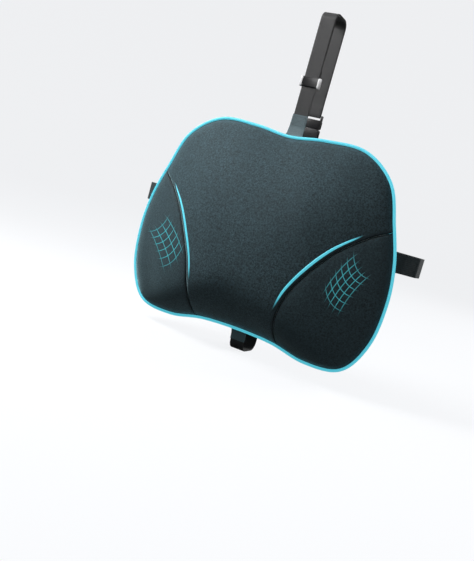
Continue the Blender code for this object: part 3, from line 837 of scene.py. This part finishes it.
def make_back_cover():
    """Back mesh with a quarter-round rim, cut out along the zip and turned in there."""
    loop = evenly(outline_at(EDGE_REACH), 3.0 * MM, closed=True)
    slot = rounded_slot(*SLOT_HALF, ZIP_Z, SLOT_CORNER) + (SLOT_SHIFT_X, 0)
    slot = evenly(slot, 2.4 * MM, closed=True)
    rows = [BACK_BEVEL * (1 - math.cos(math.radians(a))) + EDGE_REACH for a in (12, 22, 33, 45, 58)]
    flat, faces = fill_outline(loop, BACK_PITCH, rows, holes=[slot])
    verts = back_points(flat)
    slot_gap = nearest_on(slot, flat, True)[0]
    verts[:, 1] -= 3.2 * MM * bell(slot_gap, 1.9 * MM)
    verts[:, 1] -= 0.7 * MM * bell(slot_gap - 5 * MM, 1.6 * MM)
    obj = new_piece("cover_back", verts, faces, "spacer")
    share = np.clip(outline_gap(flat) / BACK_BEVEL, 0, 1)
    unrolled = BACK_BEVEL * (np.arccos(1 - share) - share)     # arc length beyond the plane distance
    outward = flat / np.linalg.norm(flat, axis=1, keepdims=True)
    set_uv(obj, flat + outward * (BACK_BEVEL * (math.pi / 2 - 1) - unrolled)[:, None])
    thicken(obj, BACK_T)
    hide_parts("cover_back_mesh")


def make_filling():
    """Foam core and its two liner halves, nested inside the covers."""
    loop = evenly(OUTLINE, 7 * MM, closed=True)
    for name, look, node, edge, depth in (
            ("foam_block", "foam", "foam_core", 8 * MM, 6.5 * MM),
            ("liner_front_knit", "liner", "liner_front", 4.5 * MM, 4.5 * MM),
            ("liner_back_knit", "liner", "liner_back", 4.5 * MM, 4.6 * MM)):
        ring = loop - sideways(loop, True) * edge
        flat, faces = fill_outline(ring, 8 * MM, ())
        front = front_points(flat)
        front[:, 1] += depth
        back = back_points(flat, depth)
        back[:, 1] = np.minimum(back[:, 1], -depth)
        if look == "foam":
            verts, faces = closed_shell(front, back, faces, len(ring))
            verts[:len(ring), 1] = SEAM_Y
            obj = new_piece(name, verts, faces, look, smooth=60)
        else:
            skin = front if node == "liner_front" else back
            obj = new_piece(name, skin, faces, look, smooth=60)
            thicken(obj, LINER_T)
        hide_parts(node)


def make_piping():
    """Cord in a bias-cut sleeve, with the sleeve's flange in the seam."""
    path = evenly(outline_at(PIPING_R + 2 * GAP), 3.2 * MM, closed=True)
    run = lengths_along(path)
    sides, (flange, half_flange) = 16, PIPING_FLANGE
    angles = [math.radians(180 + a) for a in np.linspace(9, 351, sides)]
    joint = np.linalg.norm(path - SLEEVE_JOINT, axis=1)
    verts, coords = [], []
    for i, ((x, z), (nx, nz)) in enumerate(zip(path, sideways(path, True))):
        radius = PIPING_R * (1 + 0.012 * float(ripple(run[i], mm(23, 9), 21))
                             + 0.10 * math.exp(-(joint[i] / (5 * MM)) ** 2))
        section = [(radius * math.cos(a), radius * math.sin(a)) for a in angles]
        section += [(-flange, half_flange), (-flange, -half_flange)]
        for k, (out, up) in enumerate(section):
            verts.append((x + nx * out, SEAM_Y + up, z + nz * out))
            coords.append((run[i], k * 2 * math.pi * PIPING_R / sides))
    faces = tube_faces(len(path), sides + 2, closed=True, capped=False)
    obj = new_piece("piping_cord", verts, faces, "piping", smooth=50)
    set_uv(obj, coords)
    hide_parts("edge_piping")


def raised_strip(line, widths, height, sink=0.5 * MM, columns=6):
    """Domed strip along a plane line, lying on the front cover. Gives verts, faces and a ring's size."""
    share = np.linspace(-1, 1, columns + 1)
    verts = []
    for point, normal, width in zip(line, sideways(line), widths):
        skin = front_points(point + normal * (share * width / 2)[:, None])
        rise = height * min(1.0, width / (2.2 * MM)) * np.sqrt(np.clip(1 - share ** 2, 0, 1))
        verts += [(x, y - lift + 0.05 * MM, z) for (x, y, z), lift in zip(skin, rise)]
        verts += [(x, y + sink, z) for x, y, z in (skin[-1], skin[0])]
    ring = columns + 3
    return verts, tube_faces(len(line), ring), ring


def make_wing_trim(side, label):
    points = [(side * x * MM, z * MM) for x, z in WING_SEAM[2:-2]]
    seam = evenly(smooth_curve(points, 12, closed=False), 2.5 * MM)
    line = seam + sideways(seam) * TRIM_OFFSET * side
    share = np.linspace(0, 1, len(line))
    widths = TRIM_WIDTH * (0.12 + 0.88 * np.sin(math.pi * share) ** 0.55)
    verts, faces, ring = raised_strip(line, widths, 1.1 * MM)
    obj = new_piece(f"wing_trim_{label}_strip", verts, faces, "trim", smooth=60)
    fade = smooth_step(share / 0.12) * smooth_step((1 - share) / 0.16)
    set_field(obj, "fade", np.repeat(fade, ring))
    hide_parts("wing_trim_" + label)


GRIDS = {                 # corners top, outer, bottom and inner in X, Z (mm)
    "left": [(-155, -14), (-188, -44), (-135, -90), (-104, -53)],
    "right": [(163, 12), (188, -13), (167, -69), (140, -44)],
}


def make_grid_print(label, across=4, down=5):
    """Curved lattice printed on a wing, thinning out at its ends."""
    top, outer, bottom, inner = (np.array(p, float) * MM for p in GRIDS[label])

    def spot(p, q):
        """p runs from the top-outer edge to the inner-bottom one, q from top-inner on."""
        flat = (top * (1 - p) * (1 - q) + outer * (1 - p) * q + inner * p * (1 - q) + bottom * p * q)
        sag = 0.09 * (1 - (2 * q - 1) ** 2) * (inner + bottom - top - outer) / 2
        bow = 0.07 * (1 - (2 * p - 1) ** 2) * (top + inner - outer - bottom) / 2
        return flat + sag + bow

    verts, faces, fade = [], [], []
    over = 0.24
    reach = np.linspace(-over, 1 + over, 38)
    ends = smooth_step((reach + over) / 0.38) * smooth_step((1 + over - reach) / 0.38)
    for count, along_p in ((across, True), (down, False)):
        for k in range(count + 1):
            fixed = k / count
            line = np.array([spot(t, fixed) if along_p else spot(fixed, t) for t in reach])
            strength = ends * (0.72 if k in (0, count) else 1.0)
            strip, sides, ring = raised_strip(line, 1.35 * MM * (0.35 + 0.65 * ends), 0.22 * MM, 0.3 * MM, 4)
            base = len(verts)
            verts += strip
            faces += [tuple(base + i for i in f) for f in sides]
            fade += list(np.repeat(strength, ring))
    obj = new_piece(f"grid_print_{label}", verts, faces, "print", smooth=60)
    set_field(obj, "fade", fade)


# ======================= webbing =======================
def filleted(points, radius, steps=12):
    """Polyline through the points with its inner corners rounded."""
    pts = [np.array(p, float) for p in points]
    route = [pts[0]]
    for before, corner, after in zip(pts, pts[1:], pts[2:]):
        back = (before - corner) / np.linalg.norm(before - corner)
        on = (after - corner) / np.linalg.norm(after - corner)
        half = 0.5 * math.acos(max(-1.0, min(1.0, float(back @ on))))
        reach = radius / math.tan(half)
        start, end = corner + back * reach, corner + on * reach
        centre = corner + (back + on) / np.linalg.norm(back + on) * radius / math.sin(half)
        sweep = math.pi - 2 * half
        for k in range(steps + 1):
            s = k / steps
            a, b = math.sin((1 - s) * sweep) / math.sin(sweep), math.sin(s * sweep) / math.sin(sweep)
            route.append(centre + (start - centre) * a + (end - centre) * b)
    route.append(pts[-1])
    return route


def half_turn(u, v, radius, ahead, steps=14):
    return [(u + ahead * radius * math.sin(math.pi * k / steps), v - radius * math.cos(math.pi * k / steps))
            for k in range(steps + 1)]


def strap_plane(y, z, w):
    return (w, y, z)


def belt_plane(x, y, w):
    return (x, y, BELT_Z + w)


def strap_buckle(u, v, w):
    return (w, STRAP_REAR_Y - v, STRAP_BUCKLE_Z - u)


def belt_buckle(u, v, w):
    return (BELT_BUCKLE_X + u, BELT_REAR_Y - v, BELT_Z + w)


def strap_adjuster(s, v, w):
    return (w, STRAP_FRONT_Y + v, STRAP_ADJUSTER_Z + s)


def belt_adjuster(s, v, w):
    return (BELT_ADJUSTER_X + s, BELT_REAR_Y - v, BELT_Z + w)


def band(name, route, place, width, look, node, body="cushion", end_width=None,
         thickness=WEB_T):
    """Woven band along a route, with rounded selvedges and heat-cut ends."""
    pts = evenly(route, 2.0 * MM)
    ways = np.gradient(pts, axis=0)
    ways /= np.linalg.norm(ways, axis=1, keepdims=True)
    normals = np.stack([-ways[:, 1], ways[:, 0]], axis=1)
    run = lengths_along(pts)
    lip = thickness * 0.8
    verts, coords = [], []
    for point, normal, at in zip(pts, normals, run):
        share = at / run[-1]
        half = 0.5 * (width + ((end_width or width) - width) * share)
        outer = [half - inset * lip for inset in (0, 0.15, 0.5, 1, 3.2)]
        columns = [-w for w in outer] + [0.0] + outer[::-1]
        for side in (1, -1):
            for w in columns[::side]:
                edge = min(half - abs(w), lip) / lip
                bead = 0.06 * thickness * math.exp(-((half - abs(w) - lip) / lip) ** 2)
                t = thickness / 2 * math.sqrt(max(0.0, 1 - (1 - edge) ** 2)) * 0.94 + bead
                if edge > 0 or side == 1:
                    a, b = point + normal * side * t
                    verts.append(place(a, b, w))
                    coords.append((at, w))
    faces = tube_faces(len(pts), len(verts) // len(pts))
    obj = new_piece(name, verts, faces, look, body, smooth=50)
    set_uv(obj, coords)
    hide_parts(node)


def plug_turn():
    near, far = PLUG_BAR_U - 21 * MM, PLUG_BAR_U - 11 * MM
    return ([(near, 0.0), (far, END_V - TURN_R)] + half_turn(PLUG_BAR_U, END_V, TURN_R, 1)
            + [(far, END_V + TURN_R), (near, RETURN_V)])


def looped_route(outer, inner, buckle, strap):
    """Out along the band, round the plug's bar and back inside it."""
    turn = [buckle(u, v, 0.0) for u, v in plug_turn()]
    return list(outer) + [(y, z) if strap else (x, y) for x, y, z in turn] + list(inner)


def web_end(name, adjuster, width, reach, look, node, body):
    """The band's sewn end, wrapped round the adjuster's fixed bar."""
    turn = half_turn(0.0, (TAIL_V + END_V) / 2, (TAIL_V - END_V) / 2, -1)
    route = [(reach, END_V), (4 * MM, END_V)] + turn + [(4 * MM, TAIL_V), (20 * MM, TAIL_V)]
    band(name, route, adjuster, width, look, node, body)


def socket_loop(name, buckle, width, look, node, body):
    """Short loop of band round the socket's bar."""
    near, far = SOCKET_BAR_U + 11 * MM, SOCKET_BAR_U + 45 * MM
    turn = half_turn(SOCKET_BAR_U, END_V, TURN_R, -1)
    route = [(far, 0.0), (near, 0.0)] + turn + [(near, 2 * END_V), (far, 2 * END_V)]
    band(name, route, buckle, width, look, node, body)


def stitches(name, line, out, body="cushion", look="thread", pitch=3.9 * MM, length=3.0 * MM,
             radius=0.32 * MM):
    """A row of lock stitches along a line of 3-D points; each dips in at its ends.

    out is the direction away from the fabric, or an array of them, one per point.
    """
    line = np.asarray(line, float)
    reach = lengths_along(line)
    out = np.broadcast_to(np.asarray(out, float), line.shape)
    verts, faces = [], []
    sides, stations = 6, 5
    for k in range(int((reach[-1] - length) / pitch) + 1):
        at = np.linspace(k * pitch, k * pitch + length, stations)
        spots = np.stack([np.interp(at, reach, line[:, c]) for c in range(3)], axis=1)
        up = np.stack([np.interp(at, reach, out[:, c]) for c in range(3)], axis=1)
        up /= np.linalg.norm(up, axis=1, keepdims=True)
        way = (spots[-1] - spots[0]) / np.linalg.norm(spots[-1] - spots[0])
        faces += tube_faces(stations, sides, first=len(verts))
        for i in range(stations):
            bulge = math.sin(math.pi * (i + 0.35) / (stations - 0.3))
            lateral = np.cross(way, up[i])
            centre = spots[i] + up[i] * radius * (1.1 * bulge - 0.75)
            size = radius * (0.55 + 0.45 * bulge)
            for s in range(sides):
                angle = 2 * math.pi * s / sides
                verts.append(centre + size * (math.cos(angle) * lateral + math.sin(angle) * up[i]))
    new_piece(name, verts, faces, look, body, smooth=70)


def box_stitch(name, centre, half_x, half_z, facing, body):
    """Box with a cross in it: the box and one diagonal as one run, then the other diagonal."""
    a, b, c = np.array([half_x, 0, 0]), np.array([0, 0, half_z]), np.array(centre, float)
    first = [c - a - b, c + a - b, c + a + b, c - a + b, c - a - b, c + a + b]
    for label, run in (("", first), ("_cross", [c - a + b, c + a - b])):
        stitches(name + label, run, (0, facing, 0), body, "web_thread", 2.9 * MM, 2.3 * MM, 0.26 * MM)


def make_tab(label, root, radius, tip):
    """Sewn tab that leaves the seam, bends forward and covers the strap's end."""
    tab_y = STRAP_FRONT_Y - 1.65 * MM
    route = filleted(mm_points(root) + [(tab_y, z * MM) for z in tip], radius)
    band("tab_" + label, route, strap_plane, TAB_W, "tab", "strap_tab_" + label,
         end_width=TAB_END_W)
    return tab_y


def make_strap():
    front, rear, top = STRAP_FRONT_Y, STRAP_REAR_Y, STRAP_TOP_Z
    turn_z = STRAP_BUCKLE_Z - PLUG_BAR_U + 26 * MM
    outer = filleted([(front, 176 * MM), (front, top), (rear, top), (rear, turn_z)], STRAP_BEND)
    inner = filleted([(rear - RETURN_V, turn_z), (rear - RETURN_V, top - RETURN_V),
                      (front + RETURN_V, top - RETURN_V), (front + RETURN_V, STRAP_ADJUSTER_Z + 36 * MM)],
                     STRAP_BEND - RETURN_V)
    band("strap_band", looped_route(outer, inner, strap_buckle, True), strap_plane, STRAP_W, "web",
         "strap_webbing")
    web_end("strap_sewn_end", strap_adjuster, STRAP_W, 58 * MM, "web", "strap_web_end", "strap_adjuster")
    socket_loop("strap_loop", strap_buckle, STRAP_W, "web", "strap_socket_loop", "strap_socket")
    middle = rear - END_V
    start = STRAP_BUCKLE_Z - SOCKET_BAR_U - RELEASE - 3 * MM
    lower = filleted([(middle, start), (middle, STRAP_BOTTOM_Z), (front, STRAP_BOTTOM_Z), (front, -166 * MM)],
                     STRAP_BEND)
    band("strap_lower_band", lower, strap_plane, STRAP_W, "web", "strap_lower_webbing")
    tab_y = make_tab("upper", [(-21.9, 157), (-16, 163.6), (-8, 166.5)], 4 * MM, (180, 200))
    make_tab("lower", [(-21.9, -148), (-16, -154.6), (-8, -157)], 3 * MM, (-166, -174))
    box_stitch("tab_stitch", (0, tab_y - WEB_T / 2, 190 * MM), *mm(10.5, 7), -1, "cushion")
    loop_z = STRAP_BUCKLE_Z - SOCKET_BAR_U - 33 * MM
    box_stitch("loop_stitch", (0, rear + WEB_T / 2, loop_z), *mm(10, 9), 1, "strap_socket")


def make_belt():
    rear, side = BELT_REAR_Y, BELT_SIDE_X
    root = mm_points([(212.5, -21.9), (219, -15), (226, -5)]) + [(side, 6 * MM)]
    turn_x = BELT_BUCKLE_X + PLUG_BAR_U - 26 * MM
    outer = filleted([(-x, y) for x, y in root] + [(-side, rear), (turn_x, rear)], BELT_BEND)
    inner = [(turn_x, rear - RETURN_V), (BELT_ADJUSTER_X + 46 * MM, rear - RETURN_V)]
    band("belt_left", looped_route(outer, inner, belt_buckle, False), belt_plane, BELT_W, "belt",
         "belt_webbing_left")
    web_end("belt_sewn_end", belt_adjuster, BELT_W, 100 * MM, "belt", "belt_web_end", "belt_adjuster")
    socket_loop("belt_loop", belt_buckle, BELT_W, "belt", "belt_socket_loop", "belt_socket")
    start = BELT_BUCKLE_X + SOCKET_BAR_U + RELEASE + 3 * MM
    right = filleted(root + [(side, rear - END_V), (start, rear - END_V)], BELT_BEND)
    band("belt_right", right, belt_plane, BELT_W, "belt", "belt_webbing_right")
    loop_x = BELT_BUCKLE_X + SOCKET_BAR_U + 33 * MM
    box_stitch("belt_loop_stitch", (loop_x, rear + WEB_T / 2, BELT_Z), *mm(9, 12), 1, "belt_socket")


# ======================= moulded parts =======================
def refined(name, node, body, look, edge):
    """The CAD node's own shape with its edges rounded as moulding leaves them."""
    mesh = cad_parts[node].data.copy()
    mesh.name = name
    mesh.materials.clear()
    mesh.materials.append(LOOK[look])
    bm = bmesh.new()
    bm.from_mesh(mesh)
    bmesh.ops.remove_doubles(bm, verts=bm.verts, dist=1e-6)
    bmesh.ops.dissolve_limit(bm, angle_limit=math.radians(1), verts=bm.verts, edges=bm.edges)
    bm.to_mesh(mesh)
    bm.free()
    obj = add_object(name, mesh)
    bevel = obj.modifiers.new("Bevel", "BEVEL")
    bevel.width = edge
    bevel.segments = 3
    bevel.limit_method = "ANGLE"
    bevel.angle_limit = math.radians(32)
    apply_modifiers(obj)
    obj.data.shade_smooth()
    obj.data.set_sharp_from_angle(angle=math.radians(38))
    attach(obj, body)
    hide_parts(node)
    return obj


def brighten_cheeks(obj, middle, axis, half_width):
    """Paint the two cheeks of an adjuster light grey: a painted highlight on their rounded rails."""
    obj.data.materials.append(LOOK["cheek_highlight"])
    for face in obj.data.polygons:
        if abs(face.center[axis] - middle) > half_width:
            face.material_index = 1


def make_moulded_parts():
    for prefix, labels in (("strap", ("left", "right")), ("belt", ("lower", "upper"))):
        adjuster, socket = prefix + "_adjuster", prefix + "_socket"
        slide = refined(prefix + "_slide", adjuster, adjuster, "plastic", 0.5 * MM)
        if prefix == "strap":
            brighten_cheeks(slide, 0.0, 0, STRAP_W / 2 + 0.7 * MM)
        refined(prefix + "_buckle_plug", prefix + "_plug", "cushion", "plastic", 0.7 * MM)
        refined(prefix + "_buckle_socket", socket, socket, "plastic", 0.7 * MM)
        for label in labels:
            node = f"{prefix}_prong_{label}"
            refined(f"{prefix}_buckle_prong_{label}", node, node, "plastic", 0.5 * MM)


# ======================= zip =======================
def make_zip():
    for side, label in ((1, "upper"), (-1, "lower")):
        low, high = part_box("zip_tape_" + label)
        middle_y, middle_z = low.y + ZIP_TAPE_T / 2, (low.z + high.z) / 2
        band(f"zip_tape_{label}_woven", [(low.x, middle_y), (high.x, middle_y)],
             lambda a, b, w, z=middle_z: (a, b, z + w), ZIP_TAPE_W, "zip", "zip_tape_" + label,
             thickness=ZIP_TAPE_T)
        make_coil(side, label)
    for label in ("left", "right"):
        refined(f"zip_end_stop_{label}", "zip_stop_" + label, "cushion", "zip_metal", 0.4 * MM)
    refined("zip_slider_plate", "zip_slider", "zip_slider", "zip_metal", 0.35 * MM)
    refined("zip_pull_tab", "zip_pull", "zip_pull", "zip_metal", 0.25 * MM)


def make_coil(side, label):
    """Nylon coil: a flattened helix whose turns are the zip's teeth."""
    low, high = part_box("zip_coil_" + label)
    pitch, wire, sides, per_turn = 1.45 * MM, 0.34 * MM, 5, 10
    half_z, half_y = (high.z - low.z) / 2 - wire, (high.y - low.y) / 2 - wire
    centre_z, centre_y = (high.z + low.z) / 2, (high.y + low.y) / 2
    stations = int((high.x - low.x) / pitch) * per_turn + 1
    phase = 0.0 if side > 0 else math.pi
    verts = []
    for i in range(stations):
        angle = 2 * math.pi * i / per_turn + phase
        centre = np.array([low.x + pitch * i / per_turn, centre_y + half_y * math.sin(angle),
                           centre_z + half_z * math.cos(angle)])
        out = np.array([0.0, math.sin(angle), math.cos(angle)])
        for s in range(sides):
            turn = 2 * math.pi * s / sides
            verts.append(centre + wire * (math.cos(turn) * out + math.sin(turn) * np.array([1.0, 0.0, 0.0])))
    obj = new_piece(f"zip_coil_{label}_turns", verts, tube_faces(stations, sides), "coil",
                    smooth=60)
    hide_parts("zip_coil_" + label)


def make_seam_stitches():
    """Dark top stitching beside the wing seams and the zip."""
    for side, label in SIDES:
        line = evenly(crossing(SEAMS[side], outline_at(-4 * MM)), 2 * MM)
        line = line - sideways(line) * 2.4 * MM * side
        stitches("wing_stitch_" + label, front_points(line), (0, -1, 0))
    for side, label in ((1, "upper"), (-1, "lower")):
        line = [(x, -0.55 * MM, ZIP_Z + side * 10.6 * MM) for x in np.linspace(-153, 153, 60) * MM]
        stitches("zip_stitch_" + label, line, (0, 1, 0))


# ======================= stage, light and camera =======================
FLOOR_Z = -190.8 * MM


def make_stage():
    """Pale floor that rises far away into a round backdrop."""
    n = Nodes("pale_floor")
    grain = n.noise(3.0, 2.0, 0.5)
    seen = n.add("LightPath").outputs["Is Camera Ray"]
    pale = n.mix(grain, (0.135, 0.138, 0.14), (0.15, 0.153, 0.155))
    n.set(Base_Color=n.mix(seen, (0.14, 0.14, 0.14), pale), Roughness=0.9, Specular_IOR_Level=0.1,
          Emission_Color=(0.97, 0.98, 1.0, 1.0), Emission_Strength=n.math("MULTIPLY", seen, 0.87))
    rings = [(0.02, 0.0)] + [(r, 0.0) for r in (1, 2, 3, 4)]
    rings += [(4 + 2.5 * math.sin(a), 2.5 * (1 - math.cos(a))) for a in np.radians([15, 30, 45, 60, 75, 90])]
    rings += [(6.5, 6.0)]
    sides = 64
    verts, faces = [], []
    for radius, height in rings:
        verts += [(radius * math.cos(2 * math.pi * k / sides), radius * math.sin(2 * math.pi * k / sides),
                   FLOOR_Z + height) for k in range(sides)]
    faces = tube_faces(len(rings), sides, capped=False) + [tuple(reversed(range(sides)))]
    mesh = make_mesh("floor", verts, faces, outward=False)
    mesh.shade_smooth()
    mesh.materials.append(n.mat)
    add_object("floor", mesh)


def add_light(name, place, aim, size, watts):
    data = bpy.data.lights.new(name, "AREA")
    data.shape = "DISK"
    data.size = size
    data.energy = watts
    lamp = add_object(name, data)
    lamp.location = place
    lamp.visible_camera = False
    lamp.rotation_euler = (Vector(aim) - Vector(place)).to_track_quat("-Z", "Y").to_euler()


def make_light():
    world = bpy.data.worlds.new("studio")
    bpy.context.scene.world = world
    world.use_nodes = True
    inputs = world.node_tree.nodes["Background"].inputs
    inputs["Color"].default_value = (0.90, 0.95, 1.0, 1.0)
    inputs["Strength"].default_value = 0.15
    add_light("key", (-0.58, -0.40, 0.68), (-0.08, 0, 0.05), 0.5, 13)
    add_light("back", (1.3, 1.9, 1.6), (0, 0, 0.1), 1.4, 42)
    add_light("fill", (2.2, -2.1, 0.55), (0, 0, 0), 1.3, 16)


AZIMUTH, ELEVATION, ROLL = 24.80, 6.13, 15.68      # degrees
DISTANCE = 1.206
TARGET = Vector((-0.0210, -0.0220, -0.0790))
FOCAL_SHARE = 750 / 561                            # focal length over the frame's long side


def make_camera():
    data = bpy.data.cameras.new("camera")
    data.lens = FOCAL_SHARE * data.sensor_width
    data.clip_start, data.clip_end = 0.05, 60
    camera = add_object("camera", data)
    a, e, r = (math.radians(v) for v in (AZIMUTH, ELEVATION, ROLL))
    back = Vector((math.sin(a) * math.cos(e), -math.cos(a) * math.cos(e), math.sin(e)))
    level = Vector((math.cos(a), math.sin(a), 0.0))
    upward = Vector((-math.sin(a) * math.sin(e), math.cos(a) * math.sin(e), math.cos(e)))
    right = level * math.cos(r) + upward * math.sin(r)
    up = -level * math.sin(r) + upward * math.cos(r)
    turn = Matrix((right, up, back)).transposed()
    camera.matrix_world = Matrix.Translation(TARGET + back * DISTANCE) @ turn.to_4x4()
    bpy.context.scene.camera = camera


def main():
    bpy.context.scene.view_settings.view_transform = "Standard"
    make_camera()
    simulate_cover()
    make_covers()
    make_back_cover()
    make_filling()
    make_piping()
    for side, label in SIDES:
        make_wing_trim(side, label)
        make_grid_print(label, across=3 if side < 0 else 4)
    make_seam_stitches()
    make_strap()
    make_belt()
    make_moulded_parts()
    make_zip()
    make_stage()
    make_light()


main()
